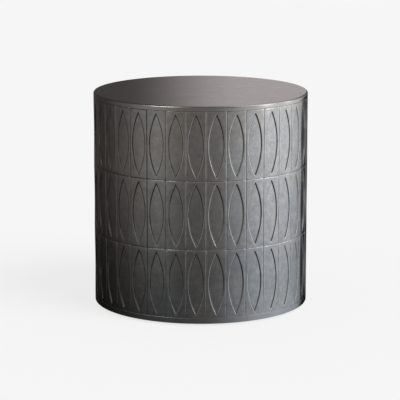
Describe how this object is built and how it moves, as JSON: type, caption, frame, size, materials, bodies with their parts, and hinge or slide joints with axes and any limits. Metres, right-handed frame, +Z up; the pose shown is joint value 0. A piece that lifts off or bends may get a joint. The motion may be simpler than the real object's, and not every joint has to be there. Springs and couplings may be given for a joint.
{
  "type": "drum side table",
  "caption": "Round closed drum side table with a plain flat top and sides clad in embossed gunmetal sheet, rows of pointed ovals in a scored grid, on screw levelling feet.",
  "frame": {"origin": "on the floor, under the middle of the drum, with the levellers screwed right in", "axes": "+Z up along the drum's axis, -Y to the front, where an oval faces, +X through a seam of the cladding"},
  "size_m": [0.508, 0.508, 0.509],
  "materials": {
    "gunmetal": "embossed sheet with a dark gunmetal patina under satin lacquer",
    "fibreboard": "bare fibreboard",
    "plywood": "bare bending plywood",
    "softwood": "planed softwood",
    "zinc_plate": "zinc-plated steel",
    "nylon": "black moulded nylon"
  },
  "bodies": {
    "drum": {"top_sheet": "gunmetal", "cladding_front": "gunmetal", "cladding_back": "gunmetal", "base_band": "gunmetal", "top_board": "fibreboard", "base_board": "fibreboard", "skin_left": "plywood", "skin_right": "plywood", "mid_hoop": "plywood", "stud_1": "softwood", "stud_2": "softwood", "stud_3": "softwood", "stud_4": "softwood", "stud_5": "softwood", "stud_6": "softwood", "stud_7": "softwood", "stud_8": "softwood", "band_pins": "zinc_plate", "top_screws": "zinc_plate", "base_screws": "zinc_plate", "t_nuts": "zinc_plate"},
    "foot_pad_1": {"foot_pad_1": "nylon"},
    "leveller_stem_1": {"leveller_stem_1": "zinc_plate"},
    "foot_pad_2": {"foot_pad_2": "nylon"},
    "leveller_stem_2": {"leveller_stem_2": "zinc_plate"},
    "foot_pad_3": {"foot_pad_3": "nylon"},
    "leveller_stem_3": {"leveller_stem_3": "zinc_plate"},
    "foot_pad_4": {"foot_pad_4": "nylon"},
    "leveller_stem_4": {"leveller_stem_4": "zinc_plate"}
  },
  "joints": [
    {"name": "foot_1_travel", "type": "slide", "parent": "drum", "child": "foot_pad_1", "axis": [0, 0, -1], "range_m": [0, 0.015]},
    {"name": "foot_1_turn", "type": "hinge", "parent": "foot_pad_1", "child": "leveller_stem_1", "pos_m": [0.13081, 0.13081, 0.01], "axis": [0, 0, -1], "range_deg": [0, 4320]},
    {"name": "foot_2_travel", "type": "slide", "parent": "drum", "child": "foot_pad_2", "axis": [0, 0, -1], "range_m": [0, 0.015]},
    {"name": "foot_2_turn", "type": "hinge", "parent": "foot_pad_2", "child": "leveller_stem_2", "pos_m": [-0.13081, 0.13081, 0.01], "axis": [0, 0, -1], "range_deg": [0, 4320]},
    {"name": "foot_3_travel", "type": "slide", "parent": "drum", "child": "foot_pad_3", "axis": [0, 0, -1], "range_m": [0, 0.015]},
    {"name": "foot_3_turn", "type": "hinge", "parent": "foot_pad_3", "child": "leveller_stem_3", "pos_m": [-0.13081, -0.13081, 0.01], "axis": [0, 0, -1], "range_deg": [0, 4320]},
    {"name": "foot_4_travel", "type": "slide", "parent": "drum", "child": "foot_pad_4", "axis": [0, 0, -1], "range_m": [0, 0.015]},
    {"name": "foot_4_turn", "type": "hinge", "parent": "foot_pad_4", "child": "leveller_stem_4", "pos_m": [0.13081, -0.13081, 0.01], "axis": [0, 0, -1], "range_deg": [0, 4320]}
  ],
  "couplings": [
    {"joint": "foot_1_travel", "follows": "foot_1_turn", "m_per_rad": 0.00019894},
    {"joint": "foot_2_travel", "follows": "foot_2_turn", "m_per_rad": 0.00019894},
    {"joint": "foot_3_travel", "follows": "foot_3_turn", "m_per_rad": 0.00019894},
    {"joint": "foot_4_travel", "follows": "foot_4_turn", "m_per_rad": 0.00019894}
  ]
}
